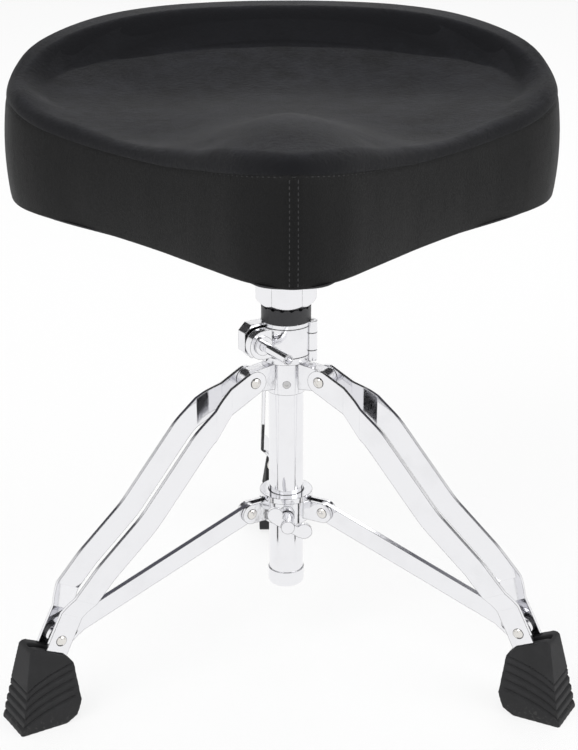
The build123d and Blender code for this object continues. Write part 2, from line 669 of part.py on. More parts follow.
def under_cover():
    """Dust cloth under the board, cut out round the hub's flange."""
    cloth = seat_prism(COVER_THICK + SOFT_GAP, SEAT_BOTTOM, SEAT_BOTTOM + UNDER_COVER_THICK)
    half = HUB_FLANGE / 2 + 2
    return cloth - block(-half, half, -half, half, SEAT_BOTTOM - 1, SEAT_BOTTOM + UNDER_COVER_THICK + 1)


def seat_hub():
    """Cast receiver that turns on the post, with a square flange under the board."""
    top = board_bottom()
    body = disc(HUB_R, HUB_BOTTOM, top)
    half = HUB_FLANGE / 2
    flange = block(-half, half, -half, half, top - HUB_FLANGE_H, top)
    flange = fillet(flange.edges().filter_by(Axis.Z), 12)
    body += flange
    web_top = top - HUB_FLANGE_H
    web = [(0, web_top), (half - 8, web_top), (HUB_R - 2, web_top - HUB_WEB_H), (0, web_top - HUB_WEB_H)]
    for azimuth in (0, 90, 180, 270):
        body += turned(upright_slab(web, -3, 3), azimuth)
    body -= disc(POST_R + RUN, HUB_BOTTOM - 1, post_top() + SEAT_GAP)
    for x, y in hub_bolt_places():
        body -= Pos(x, y, 0) * disc(HUB_BOLT_R + RUN, top - HUB_FLANGE_H - 1, top + 1)
    return body - turned(radial_pin(PINCH_R + RUN, POST_R - 1, 40, PINCH_Z), 45)


def hub_key_screw():
    """Square-headed screw in the side of the hub, set just clear of the post so that the seat turns."""
    screw = radial_pin(PINCH_R, POST_R + SEAT_GAP, HUB_R + 4, PINCH_Z)
    head = Pos(HUB_R + 4 + PINCH_HEAD / 2, 0, PINCH_Z) * Box(PINCH_HEAD, 5.5, 5.5)
    return turned(screw + head, 45)


def hub_bolts():
    bottom = board_bottom() - HUB_FLANGE_H
    bolts = []
    for x, y in hub_bolt_places():
        head = Pos(0, 0, bottom - HUB_BOLT_HEAD_H) * extrude(RegularPolygon(HUB_BOLT_HEAD_R, 6), HUB_BOLT_HEAD_H)
        bolt = head + disc(HUB_BOLT_R, bottom - 1, board_top() - 1)
        bolts.append(Pos(x, y, 0) * bolt)
    return bolts


def tee_nuts():
    nuts = []
    for x, y in hub_bolt_places():
        nut = ring(TEE_NUT_R, HUB_BOLT_R + RUN, board_top() + RUN, board_top() + TEE_NUT_H)
        nut += ring(HUB_BOLT_R + 1.3, HUB_BOLT_R + RUN, board_top() - 8, board_top() + TEE_NUT_H)
        nuts.append(Pos(x, y, 0) * nut)
    return nuts


# ================================================================ assembly
def build_nodes():
    nodes = {
        "main_tube": [main_tube()],
        "tube_end_cap": [tube_end_cap()],
        "leg_bracket": [leg_bracket()],
        "height_bushing": [height_bushing()],
        "clamp_hinge_pin": [clamp_hinge_pin()],
        "clamp_door": [clamp_door()],
        "clamp_screw": [clamp_screw()],
        "clamp_nut": [clamp_nut()],
        "bracket_set_screw": [bracket_set_screw()],
        "leg_pivot_rivets": [turned(leg_rivet(), azimuth) for azimuth in LEG_AZIMUTHS.values()],
        "seat_post": [seat_post()],
        "post_plug": [post_plug()],
        "hex_collar": [hex_collar()],
        "hex_collar_screw": [hex_collar_screw()],
        "brace_collar": [brace_collar()],
        "collar_liner": [collar_liner()],
        "ear_rivets": ear_rivets(),
        "wing_bolt": [wing_bolt()],
        "seat_hub": [seat_hub()],
        "hub_key_screw": [hub_key_screw()],
        "hub_bolts": hub_bolts(),
        "tee_nuts": tee_nuts(),
        "seat_board": [seat_board()],
        "under_cover": [under_cover()],
        "seat_foam": [seat_foam()],
        "seat_top_cover": [top_cover()],
        "seat_side_band": [side_band()],
    }
    bar = leg_bar()
    bar_a, bar_b = both_sides(bar)
    foot, rivet, washers, brace = rubber_foot(), foot_rivet(), foot_washers(), strut()
    for name, azimuth in LEG_AZIMUTHS.items():
        nodes[f"{name}_leg_bar_a"] = [turned(bar_a, azimuth)]
        nodes[f"{name}_leg_bar_b"] = [turned(bar_b, azimuth)]
        nodes[f"{name}_foot"] = [turned(foot, azimuth)]
        nodes[f"{name}_foot_rivet"] = [turned(rivet, azimuth)]
        nodes[f"{name}_foot_washers"] = [turned(washer, azimuth) for washer in washers]
        nodes[f"{name}_strut"] = [turned(brace, azimuth)]
    return nodes


def write_nodes(nodes):
    """Centre the whole object over the origin and write one file per node."""
    os.makedirs("parts", exist_ok=True)
    box = Compound(children=[solid for shapes in nodes.values() for part in shapes for solid in part.solids()])
    box = box.bounding_box()
    shift = Pos(-(box.min.X + box.max.X) / 2, -(box.min.Y + box.max.Y) / 2, -box.min.Z)
    print("moved by", shift.position)
    for name, shapes in nodes.items():
        solids = [shift * solid for part in shapes for solid in part.solids()]
        piece = solids[0] if len(solids) == 1 else Compound(children=solids)
        piece.label = name
        export_step(piece, f"parts/{name}.step")


if __name__ == "__main__":
    write_nodes(build_nodes())
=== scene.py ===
"""Looks of a folding drum throne: saddle cushion, ribbed rubber feet, chrome tripod and a white stage."""
import json
import math

import bmesh
import bpy
import numpy as np
from bpy.props import FloatProperty, FloatVectorProperty, IntProperty, PointerProperty
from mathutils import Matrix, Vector


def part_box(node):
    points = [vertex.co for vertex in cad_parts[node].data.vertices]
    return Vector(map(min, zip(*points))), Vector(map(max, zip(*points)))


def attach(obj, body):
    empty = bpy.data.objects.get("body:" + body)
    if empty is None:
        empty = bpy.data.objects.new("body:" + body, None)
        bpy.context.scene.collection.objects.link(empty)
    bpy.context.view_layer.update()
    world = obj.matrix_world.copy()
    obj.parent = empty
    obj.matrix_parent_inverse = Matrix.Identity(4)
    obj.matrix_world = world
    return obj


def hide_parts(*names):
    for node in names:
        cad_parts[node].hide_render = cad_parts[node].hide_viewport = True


bl_info = {
    "name": "Drum throne dressing",
    "version": (1, 0, 0),
    "blender": (4, 5, 0),
    "location": "View3D > Sidebar > Throne",
    "description": "Covers, stitches, rubber and chrome for a folding drum throne",
    "category": "Object",
}

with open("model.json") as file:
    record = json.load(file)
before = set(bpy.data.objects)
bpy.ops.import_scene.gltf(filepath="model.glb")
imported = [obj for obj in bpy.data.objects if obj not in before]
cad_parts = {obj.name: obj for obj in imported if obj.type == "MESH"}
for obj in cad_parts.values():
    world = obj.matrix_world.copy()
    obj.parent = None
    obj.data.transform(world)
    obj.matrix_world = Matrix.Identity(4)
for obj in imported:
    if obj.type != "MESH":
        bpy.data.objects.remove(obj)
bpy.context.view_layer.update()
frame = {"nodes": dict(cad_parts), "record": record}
MM = 0.001
LEGS = {"left": 210.0, "right": 330.0, "rear": 90.0}
TUBE_LOW, TUBE_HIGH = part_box("main_tube")
AXIS_Y = (TUBE_LOW.y + TUBE_HIGH.y) / 2 / MM
SEAT_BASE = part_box("seat_side_band")[0].z / MM

# Seat plan in millimetres, right half from the nose round to the back: x, y, then heights of the seam,
# of the crown just inside it, and of the dish carried out under the raised rim.
EDGE = np.array([
    (0, -170, 466, 477, 477), (33, -153, 462, 474, 474), (62, -121, 456, 468, 468),
    (92, -85, 450, 461, 461), (124, -50, 448, 457, 457), (160, -14, 449, 459, 459),
    (198, 20, 455, 466, 464), (219, 50, 463, 474, 468), (226, 86, 466, 481, 473),
    (217, 122, 470, 495, 480), (192, 152, 476, 505, 487), (152, 175, 484, 514, 492),
    (105, 190, 488, 518.5, 495), (52, 197, 490, 520.5, 497), (0, 199, 490, 521, 498)], float)
# Heights in the dish and on the pommel: x, y, z.
SITTING = np.array([
    (0, -130, 485), (0, -105, 487.5), (0, -85, 487), (0, -62, 483), (0, -40, 475), (0, -15, 468),
    (0, 30, 464.5), (0, 75, 466), (0, 105, 473), (0, 130, 482), (0, 150, 489), (26, -95, 483),
    (40, -80, 476), (50, -50, 468), (60, -95, 467), (40, -20, 465), (60, 30, 462), (60, 80, 465),
    (60, 108, 473), (60, 140, 485), (88, -45, 457), (110, -25, 455), (100, 5, 458), (120, 40, 461),
    (120, 85, 466), (112, 110, 474), (122, 132, 482), (155, 20, 461), (160, 60, 465), (150, 90, 471),
    (152, 114, 478), (174, 93, 473), (190, 66, 467)], float)
RIM_FOOT = (32.0, 50.0)            # from the edge to the foot of the rim's inner wall, at sides and back
RIM_WALL = 21.0                    # from its foot to its brow
NOSE_Y = -170.0                    # the seat's foremost point
MIDDLE_Y = 38.0                    # where the rows of the top cover close up
ROLL_ROWS, TOP_ROWS = 16, 100      # rows over the rolled edge, and from there to the middle
COVER_THICK = 3.0                  # foam and cloth under the cover's outer face
COVER_TUCK = 0.012                 # how much smaller the cover's underside is
BAND_BASE = SEAT_BASE + 2.6        # where the band's face turns into its lower corner
SWELL_POWER = 0.8                  # of the sine that swells the band's face
FACE_ROWS, CORNER_ROWS, HEM_ROWS, BACK_ROWS = 44, 8, 10, 6
CORNER = 3.0                       # radius of the band's lower corner
STITCH = (3.4 * MM, 0.33 * MM)     # length and radius
NOSE_ROWS = (-3.1, 3.1)            # the two rows of stitches, beside the joint in the band
STAPLE = (10.5 * MM, 0.45 * MM)
STAPLES = 74
STAPLE_INSET = 13.0                # from the seat's edge
# The feet: distance of the end face from the post at the floor, its lean, and half the width by height.
FOOT_END, FOOT_LEAN = 257.0, 0.21
FOOT_HALF = ((0, 14, 71), (19, 19, 11))
RIB_PITCH = 7.4
PAINTED_EDGE_WIDTH = 0.0011                 # width of the painted dark reflection along a plated edge, in metres

WHITE, BAR, THIN_BAR = (1, 1, 1), (0.05, 0.05, 0.06), (0.04, 0.04, 0.05)
# Round the room, as parts of a turn: four dark upright bars in white.
UPRIGHTS = (
    (0.0, WHITE), (0.115, WHITE), (0.13, THIN_BAR), (0.145, WHITE), (0.325, WHITE), (0.345, BAR),
    (0.39, BAR), (0.405, WHITE), (0.60, WHITE), (0.615, BAR), (0.65, BAR), (0.67, WHITE),
    (0.86, WHITE), (0.874, THIN_BAR), (0.89, WHITE), (1.0, WHITE))
# From straight down to straight up: a dark ring high up, and grey overhead.
RINGS = (
    (0.0, WHITE), (0.50, WHITE), (0.76, WHITE), (0.79, (0.10, 0.10, 0.12)), (0.87, BAR),
    (0.90, (0.95, 0.95, 0.97)), (0.975, WHITE), (0.99, (0.3, 0.3, 0.32)), (1.0, (0.2, 0.2, 0.22)))
FLOOR_REACH, FLOOR_DROP = 14.0, 0.0002
# Name, place, width in metres and power in watts.
LAMPS = (
    ("key_panel", (-1.5, -1.9, 2.6), 1.9, 40.0),
    ("fill_panel", (1.9, -1.2, 1.6), 1.6, 17.0),
    ("back_panel", (0.4, 1.9, 2.4), 1.7, 17.0))
# The camera's turn about the post and pitch in degrees, its place in metres, its lens in millimetres.
CAMERA_TURN, CAMERA_REACH, CAMERA_HEIGHT, CAMERA_PITCH = 1.81, 1.428, 0.816, 20.2
CAMERA_LENS, FRAME_HEIGHT = 59.968, 24.0
CAMERA_SHIFT = (0.003867, -0.065)


class DressingSizes(bpy.types.PropertyGroup):
    """Sizes a maker would change."""
    edge_roll: FloatProperty(
        name="Edge roll", description="Radius of the cushion's rolled edge", default=0.0105, unit="LENGTH")
    band_bulge: FloatProperty(
        name="Band bulge", description="How far the side band swells", default=0.0032, unit="LENGTH")
    stitch_pitch: FloatProperty(
        name="Stitch pitch", description="Distance between stitches", default=0.0046, unit="LENGTH")
    hem_width: FloatProperty(
        name="Hem", description="Band turned under the board", default=0.019, unit="LENGTH")
    rib_depth: FloatProperty(
        name="Rib depth", description="Depth of the grooves in the feet", default=0.0019, unit="LENGTH")
    columns: IntProperty(name="Columns", description="Divisions round the seat", default=640, min=120)


class DressingColours(bpy.types.PropertyGroup):
    """Colours of the finishes, linear."""
    velour: FloatVectorProperty(
        name="Velour", description="Top cover", subtype="COLOR", size=3, default=(0.0075, 0.0077, 0.0096))
    vinyl: FloatVectorProperty(
        name="Vinyl", description="Side band", subtype="COLOR", size=3, default=(0.0020, 0.0020, 0.0023))
    thread: FloatVectorProperty(
        name="Thread", description="Stitches", subtype="COLOR", size=3, default=(0.014, 0.014, 0.016))
    rubber: FloatVectorProperty(
        name="Rubber", description="Feet", subtype="COLOR", size=3, default=(0.0150, 0.0150, 0.0160))
    chrome: FloatVectorProperty(
        name="Chrome", description="Plated steel", subtype="COLOR", size=3, default=(0.86, 0.86, 0.88))
    nylon: FloatVectorProperty(
        name="Nylon", description="Bushes and liners", subtype="COLOR", size=3, default=(0.018, 0.018, 0.02))


# ------------------------------------------------------------------ shader maths
class Wire:
    """A socket in a node tree that does arithmetic by adding Math nodes."""

    def __init__(self, tree, socket):
        self.tree, self.socket = tree, socket

    def node(self, kind, settings=None, out=0, **inputs):
        """Any node: its type, its settings, then values or links by socket name."""
        made = self.tree.nodes.new(kind)
        stops = (settings or {}).pop("stops", None)
        for key, value in (settings or {}).items():
            setattr(made, key, value)
        if stops:
            ramp = made.color_ramp
            while len(ramp.elements) < len(stops):
                ramp.elements.new(0.5)
            for element, (place, colour) in zip(ramp.elements, stops):
                element.position = place
                element.color = (*colour, 1)
        for name, value in inputs.items():
            index = int(name[1:]) if name[0] == "i" and name[1:].isdigit() else name.replace("_", " ")
            socket = made.inputs[index]
            if isinstance(value, Wire):
                self.tree.links.new(value.socket, socket)
            else:
                socket.default_value = value
        return Wire(self.tree, made.outputs[out])

    def maths(self, operation, *values):
        """One Math node over the given values."""
        return self.node("ShaderNodeMath", {"operation": operation},
                         **{f"i{i}": v for i, v in enumerate(values)})

    def __add__(self, other):
        return self.maths("ADD", self, other)

    def __radd__(self, other):
        return self.maths("ADD", other, self)

    def __sub__(self, other):
        return self.maths("SUBTRACT", self, other)

    def __rsub__(self, other):
        return self.maths("SUBTRACT", other, self)

    def __mul__(self, other):
        return self.maths("MULTIPLY", self, other)

    def __rmul__(self, other):
        return self.maths("MULTIPLY", other, self)

    def __truediv__(self, other):
        return self.maths("DIVIDE", self, other)

    def __rtruediv__(self, other):
        return self.maths("DIVIDE", other, self)

    def band(self, low, high):
        """0 below low, 1 above high, smooth between."""
        return self.node("ShaderNodeMapRange", {"interpolation_type": "SMOOTHSTEP"},
                         Value=self, From_Min=low, From_Max=high)

    def blend(self, a, b):
        """Colour a where this is 0, colour b where it is 1."""
        a = a if isinstance(a, Wire) else (*a, 1)
        b = b if isinstance(b, Wire) else (*b, 1)
        return self.node("ShaderNodeMix", {"data_type": "RGBA"}, 2, i0=self, i6=a, i7=b)

    def noise(self, scale, detail, rough, at=None):
        """Cloudy noise, so many waves to the metre, over this place or another."""
        return self.node("ShaderNodeTexNoise", None, 0,
                         Vector=at or self, Scale=scale, Detail=detail, Roughness=rough)

    def stretched(self, x, y, z):
        """This place scaled along each axis, which draws a pattern out where the scale is small."""
        return self.node("ShaderNodeMapping", None, 0, Vector=self, Scale=(x, y, z))

    def bump(self, height, strength, distance, eased=0.0):
        """Relief from a height, over edges eased by a small radius where one is given."""
        if not eased:
            return self.node("ShaderNodeBump", None, 0, Height=height, Strength=strength, Distance=distance)
        edge = self.node("ShaderNodeBevel", {"samples": 6}, 0, Radius=eased)
        return self.node("ShaderNodeBump", None, 0,
                         Height=height, Strength=strength, Distance=distance, Normal=edge)


def finish(name, recipe, **constants):
    """A material: recipe(place) gives the varying sockets by name, constants the steady ones."""
    material = bpy.data.materials.new(name)
    material.use_nodes = True
    tree = material.node_tree
    tree.nodes.clear()
    shader = tree.nodes.new("ShaderNodeBsdfPrincipled")
    output = tree.nodes.new("ShaderNodeOutputMaterial")
    tree.links.new(shader.outputs[0], output.inputs[0])
    place = Wire(tree, tree.nodes.new("ShaderNodeTexCoord").outputs["Object"])
    for key, value in constants.items():
        shader.inputs[key.replace("_", " ")].default_value = value
    for key, value in recipe(place).items():
        socket = shader.inputs[key.replace("_", " ")]
        if isinstance(value, Wire):
            tree.links.new(value.socket, socket)
        else:
            socket.default_value = value
    return material


def plated(colour, rough, ripple, scratch):
    """Bright plate: faint casting ripple, hairline polishing marks, smudges that dull it, and a painted dark
    reflection along the edges, found where the surface's direction and its average over a small radius
    differ."""
    def recipe(place):
        smudge = place.noise(38, 4, 0.6).band(0.45, 0.75)
        hair = place.noise(900, 2, 0.5, at=place.stretched(1, 1, 0.06))
        wave = place.noise(120, 2, 0.5)
        pits = place.noise(2600, 1, 0.4).band(0.70, 0.80)
        tone = (smudge * 0.35).blend(colour, tuple(c * 0.9 for c in colour))
        edge = place.node("ShaderNodeBevel", {"samples": 6}, 0, Radius=PAINTED_EDGE_WIDTH)
        face = place.node("ShaderNodeNewGeometry", None, 1)
        agree = edge.node("ShaderNodeVectorMath", {"operation": "DOT_PRODUCT"}, 1, i0=edge, i1=face)
        # painted dark reflection: along the edges the plate's colour drops to 6 per cent
        tone = ((1 - agree.band(0.82, 0.985)) * 0.94).blend(tone, tuple(c * 0.06 for c in colour))
        return {"Base_Color": (pits * 0.25).blend(tone, tuple(c * 0.45 for c in colour)),
                "Roughness": smudge * (rough * 0.9) + hair * scratch + rough,
                "Normal": place.bump(wave * ripple + hair * 0.05, 0.35, 0.0004, 0.0007), "Metallic": 1.0}
    return recipe


def brushed_zinc(place):
    """Dull zinc: cloudy spangle and turned marks."""
    cloud = place.noise(260, 3, 0.6)
    turned = place.noise(1500, 2, 0.5, at=place.stretched(1, 1, 0.15))
    return {"Base_Color": cloud.blend((0.50, 0.50, 0.53), (0.70, 0.69, 0.66)), "Metallic": 1.0,
            "Roughness": cloud * 0.2 + turned * 0.12 + 0.22, "Normal": place.bump(turned, 0.3, 0.0003)}


def satin_nylon(colour):
    """Moulded nylon: spark-eroded grain and faint flow marks."""
    def recipe(place):
        grain = place.noise(2400, 2, 0.6)
        flow = place.noise(55, 3, 0.6)
        return {"Base_Color": flow.blend(colour, tuple(c * 1.8 for c in colour)),
                "Roughness": grain * 0.12 + flow * 0.12 + 0.34, "Normal": place.bump(grain, 0.35, 0.0003)}
    return recipe


def moulded_rubber(colour):
    """Rubber: fine sandy skin, pale bloom in patches and scuffs near the sole."""
    def recipe(place):
        height = place.node("ShaderNodeSeparateXYZ", None, 2, Vector=place)
        bloom = place.noise(60, 4, 0.65).band(0.35, 0.8)
        grain = place.noise(2100, 3, 0.6)
        scuff = place.noise(340, 4, 0.7).band(0.52, 0.72) * (1 - height.band(0.002, 0.016))
        tone = (bloom * 0.8).blend(colour, tuple(c * 1.55 for c in colour))
        return {"Base_Color": (scuff * 0.55).blend(tone, (0.13, 0.125, 0.12)),
                "Roughness": grain * 0.14 + 0.62 + scuff * 0.1,
                "Normal": place.bump(grain + scuff * 0.4, 0.45, 0.0004)}
    return recipe


def brushed_velour(colour):
    """Short nap: brushed patches, mottle and tufts. Painted shade evens the colour out and darkens it where
    the cover slopes, so the parts that face up read lighter.
    """
    def recipe(place):
        patch = place.noise(17, 5, 0.62, at=place.stretched(1.0, 1.5, 1.0)).band(0.34, 0.68)
        tuft = place.noise(330, 3, 0.7)
        pile = place.noise(1900, 2, 0.6)
        dark, light = tuple(c * 0.36 for c in colour), tuple(c * 2.55 for c in colour)
        mottle = place.noise(70, 6, 0.72).band(0.36, 0.66)
        tone = (patch * 0.35 + mottle * 0.35 + tuft.band(0.3, 0.75) * 0.3).blend(dark, light)
        # painted shade: darker, even colour where the cover slopes; the mottled, lighter tone stays only
        # where it faces up
        face = place.node("ShaderNodeNewGeometry", None, 1)
        facing_up = place.node("ShaderNodeSeparateXYZ", None, 2, Vector=face)
        tone = facing_up.band(0.45, 0.93).blend(tuple(c * 0.86 for c in colour), tone)
        return {"Base_Color": (pile.band(0.55, 0.8) * 0.25).blend(tone, tuple(c * 2.0 for c in colour)),
                "Roughness": 0.93 - pile * 0.1,
                "Normal": place.bump(tuft * 0.7 + pile * 0.5 + mottle * 0.12, 0.8, 0.0010)}
    return recipe


def grained_vinyl(colour):
    """Coated cloth: pebbled leather grain, polished on the high spots, with painted shade darkening the
    creases between the pebbles.
    """
    def recipe(place):
        drift = place.node("ShaderNodeTexNoise", None, 1, Vector=place, Scale=400.0, Detail=2.0)
        warp = place.node("ShaderNodeMix", {"data_type": "VECTOR"}, 1, i0=0.0012, i4=place, i5=drift)
        pebble = place.node("ShaderNodeTexVoronoi", {"feature": "DISTANCE_TO_EDGE"}, 0,
                            Vector=warp, Scale=620.0)
        high = pebble.band(0.02, 0.28)
        fine = place.noise(1600, 2, 0.6)
        cloud = place.noise(26, 4, 0.6)
        tone = cloud.blend(tuple(c * 0.8 for c in colour), tuple(c * 1.5 for c in colour))
        # painted shade: the colour falls to half in the creases between the pebbles
        return {"Base_Color": (high * 0.7).blend(tuple(c * 0.5 for c in colour), tone),
                "Roughness": 0.56 - high * 0.12 + cloud * 0.08,
                "Normal": place.bump(high * 0.8 + fine * 0.15, 0.5, 0.0004)}
    return recipe


def twisted_thread(colour):
    """Sewing thread: the twisted plies drawn as fine bars of painted light and shade."""
    def recipe(place):
        ply = place.node("ShaderNodeTexWave", {"bands_direction": "DIAGONAL"}, 1,
                         Vector=place, Scale=900.0, Distortion=1.0)
        # painted light and shade: the plies are coloured in lighter and darker bars along the twist
        return {"Base_Color": ply.blend(tuple(c * 0.5 for c in colour), tuple(c * 1.5 for c in colour)),
                "Roughness": 0.62 + ply * 0.1, "Normal": place.bump(ply, 0.5, 0.0003)}
    return recipe


def birch_ply(place):
    """Plywood: veneers stacked in height, long grain on the faces and darker pores."""
    z = place.node("ShaderNodeSeparateXYZ", None, 2, Vector=place)
    layer = z.maths("SINE", z * 2600).band(-0.2, 0.4)
    grain = place.noise(180, 5, 0.6, at=place.stretched(1, 0.06, 1))
    pore = place.noise(900, 3, 0.6, at=place.stretched(1, 0.05, 1)).band(0.6, 0.72)
    tone = (layer * 0.5 + grain * 0.5).blend((0.42, 0.28, 0.16), (0.68, 0.52, 0.34))
    return {"Base_Color": (pore * 0.5).blend(tone, (0.24, 0.15, 0.08)),
            "Roughness": 0.6 + grain * 0.2, "Normal": place.bump(grain - pore * 0.5, 0.4, 0.0004)}


def dust_cloth(place):
    """Non-woven cloth: pressed dots in rows over tangled fibre."""
    dots = place.node("ShaderNodeTexVoronoi", {"feature": "F1"}, 0,
                      Vector=place, Scale=520.0, Randomness=0.15)
    pressed = 1 - dots.band(0.18, 0.32)
    fibre = place.noise(1300, 4, 0.7, at=place.stretched(1, 0.35, 1))
    tone = fibre.blend((0.012, 0.012, 0.013), (0.055, 0.055, 0.058))
    return {"Base_Color": (pressed * 0.6).blend(tone, (0.010, 0.010, 0.011)),
            "Roughness": 0.92 - pressed * 0.25,
            "Normal": place.bump(fibre * 0.5 - pressed * 0.7, 0.6, 0.0005)}


def make_finishes(colours):
    """Every finish of the throne, by the name of the slot it fills."""
    return {
        "chrome": finish("chrome", plated(tuple(colours.chrome), 0.045, 0.15, 0.05)),
        "chrome_casting": finish("chrome_casting", plated(tuple(colours.chrome), 0.085, 0.9, 0.05)),
        "rivet_steel": finish("rivet_steel", plated((0.78, 0.76, 0.73), 0.13, 0.5, 0.12)),
        "zinc_screw": finish("zinc_screw", brushed_zinc),
        "black_nylon": finish("black_nylon", satin_nylon(tuple(colours.nylon))),
        "black_rubber": finish("black_rubber", moulded_rubber(tuple(colours.rubber)),
                               Specular_IOR_Level=0.35),
        "velour": finish("velour", brushed_velour(tuple(colours.velour)),
                         Sheen_Weight=0.10, Sheen_Roughness=0.5, Specular_IOR_Level=0.15),
        "vinyl": finish("vinyl", grained_vinyl(tuple(colours.vinyl)), Specular_IOR_Level=0.22),
        "thread": finish("thread", twisted_thread(tuple(colours.thread)), Sheen_Weight=0.2),
        "plywood": finish("plywood", birch_ply),
        "dust_cloth": finish("dust_cloth", dust_cloth),
    }


# ------------------------------------------------------------------ surfaces
def grid_faces(rows, columns, closed_rows=False):
    """Quads of a grid whose columns go all the way round, the rows too when closed_rows."""
    row = np.arange(rows if closed_rows else rows - 1)[:, None]
    column = np.arange(columns)[None, :]
    upper, right = (row + 1) % rows, (column + 1) % columns
    here, above = row * columns, upper * columns
    return np.stack([here + column, here + right, above + right, above + column], -1).reshape(-1, 4)


def make_piece(name, points, faces, material):
    """A mesh object at the origin, from arrays of points in metres and of quads."""
    mesh = bpy.data.meshes.new(name)
    mesh.from_pydata(points.reshape(-1, 3), [], faces.tolist())
    mesh.validate()
    mesh.polygons.foreach_set("use_smooth", np.ones(len(mesh.polygons), bool))
    mesh.materials.append(material)
    piece = bpy.data.objects.new(name, mesh)
    bpy.context.scene.collection.objects.link(piece)
    return piece


def in_place(x, y, z):
    """Points about the post's axis in millimetres, as metres in the throne's own frame."""
    return np.stack([x, y + AXIS_Y, z], -1) * MM


def edge_table():
    """The plan's corners all the way round: the right half, then its mirror image."""
    left = EDGE[-2:0:-1] * np.array([-1, 1, 1, 1, 1])
    return np.concatenate([EDGE, left])


def round_the_seat(turn):
    """The edge at each part of a turn: a closed cubic through the corners, where the slope at a corner
    is half the step between its neighbours."""
    table = edge_table()
    count = len(table)
    place = (turn % 1.0) * count
    i = np.floor(place).astype(int) % count
    t = (place - np.floor(place))[:, None]
    a, b, c, d = (table[(i + k) % count] for k in (-1, 0, 1, 2))
    square, cube = 2 * a - 5 * b + 4 * c - d, 3 * b - a - 3 * c + d
    return 0.5 * (2 * b + (c - a) * t + square * t ** 2 + cube * t ** 3)


def even_turns(count):
    """Parts of a turn that step evenly along the edge, and the edge's whole length."""
    fine = np.linspace(0, 1, 6001)
    line = round_the_seat(fine)[:, :2]
    length = np.concatenate([[0], np.cumsum(np.hypot(*np.diff(line, axis=0).T))])
    return np.interp(np.arange(count) / count * length[-1], length, fine), length[-1]


def outward(line):
    """Unit plan direction square to a closed line, pointing out of it."""
    along = np.roll(line, -1, 0) - np.roll(line, 1, 0)
    normal = np.stack([along[:, 1], -along[:, 0]], -1)
    return normal / np.linalg.norm(normal, axis=1, keepdims=True)


def spread(points, heights, at, soften):
    """A thin plate by the given heights: a sum of r squared times log r about each point, plus a plane."""
    def kernel(a, b):
        square = ((a[:, None, :] - b[None, :, :]) ** 2).sum(-1) + 1e-9
        return 0.5 * square * np.log(square)
    count = len(points)
    plane = np.c_[np.ones(count), points]
    left = np.block([[kernel(points, points) + soften * np.eye(count), plane],
                     [plane.T, np.zeros((3, 3))]])
    weight = np.linalg.solve(left, np.r_[heights, np.zeros(3)])
    flat = at.reshape(-1, 2)
    value = kernel(flat, points) @ weight[:count] + np.c_[np.ones(len(flat)), flat] @ weight[count:]
    return value.reshape(at.shape[:-1])


def eased(t):
    """0 to 1 as a smooth step: three times the square less twice the cube."""
    t = np.clip(t, 0, 1)
    return t * t * (3 - 2 * t)


def crown(x, y, edge):
    """Height of the sitting surface before its edge is rolled down to the seam.
    A thin plate gives the dish. A smooth step of the distance from the edge lifts it to the height of the
    nearest stretch of rim, where each point of the edge counts by the fourth power of its nearness."""
    half = np.concatenate([EDGE[:, [0, 1, 4]], SITTING])
    mirrored = half[half[:, 0] > 1] * np.array([-1, 1, 1])
    known = np.concatenate([half, mirrored])
    dish = spread(known[:, :2] / 100, known[:, 2], np.stack([x, y], -1) / 100, 0.002)
    plan = np.stack([x, y], -1).reshape(-1, 1, 2).astype(np.float32)
    away = np.concatenate([np.hypot(*np.moveaxis(part - edge[None, :, :2].astype(np.float32), -1, 0))
                           for part in np.array_split(plan, 24)])
    weight = 1 / (away + 2.0) ** 4
    top = (weight @ edge[:, 3] / weight.sum(1)).reshape(x.shape)
    gap = away.min(1).reshape(x.shape)
    foot = RIM_FOOT[0] + (RIM_FOOT[1] - RIM_FOOT[0]) * eased((y - 60) / 110)
    return dish + (top - dish) * eased((foot - gap) / RIM_WALL) * eased((y - 5) / 50)


def slackness(turns):
    """Millimetres of ease between stitches: three sines with whole waves round the seat, so it closes."""
    a = 2 * np.pi * turns
    return 0.10 * np.sin(23 * a + 1.0) + 0.08 * np.sin(41 * a + 2.2) + 0.03 * np.sin(97 * a + 0.4)


def top_cover_points(sizes):
    """Closed cover: from a pole under the middle out to the seam, and back over the crown to the upper pole.
    The height is the seam's plus a quarter circle of the crown's rise. The plan shrinks to the middle."""
    turns, _ = even_turns(sizes.columns)
    edge = round_the_seat(turns)
    line, seam = edge[:, :2], edge[:, 2]
    normal = outward(line)
    roll = sizes.edge_roll / MM
    middle = np.array([0.0, MIDDLE_Y])
    inset = np.r_[0, roll * (1 - np.cos(np.linspace(0, np.pi / 2, ROLL_ROWS)[1:]))]
    near = line[None] - normal[None] * inset[:, None, None] * 0.9
    share = np.linspace(0, 1, TOP_ROWS)[1:] ** 1.35
    start = near[-1]
    far = start[None] + (middle - start)[None] * share[:, None, None]
    plan = np.concatenate([near, far])
    plan[-1] = middle
    deep = np.clip(np.r_[inset, np.full(len(share), roll)] / roll, 0, 1)
    lift = np.sqrt(np.clip(1 - (1 - deep) ** 2, 0, 1))[:, None]
    high = crown(plan[..., 0], plan[..., 1], edge)
    z = seam[None] + (high - seam[None]) * lift
    z += slackness(turns)[None] * np.exp(-((deep[:, None] - 0.25) / 0.3) ** 2) * (deep[:, None] < 1)
    z[0] -= 0.9
    top = np.stack([plan[..., 0], plan[..., 1], z], -1)
    under = top[::-6].copy()
    under[..., 2] -= COVER_THICK
    under[..., 0] *= 1 - COVER_TUCK
    under[..., 1] = MIDDLE_Y + (under[..., 1] - MIDDLE_Y) * (1 - COVER_TUCK)
    rows = np.concatenate([under, top])
    return in_place(rows[..., 0], rows[..., 1], rows[..., 2])


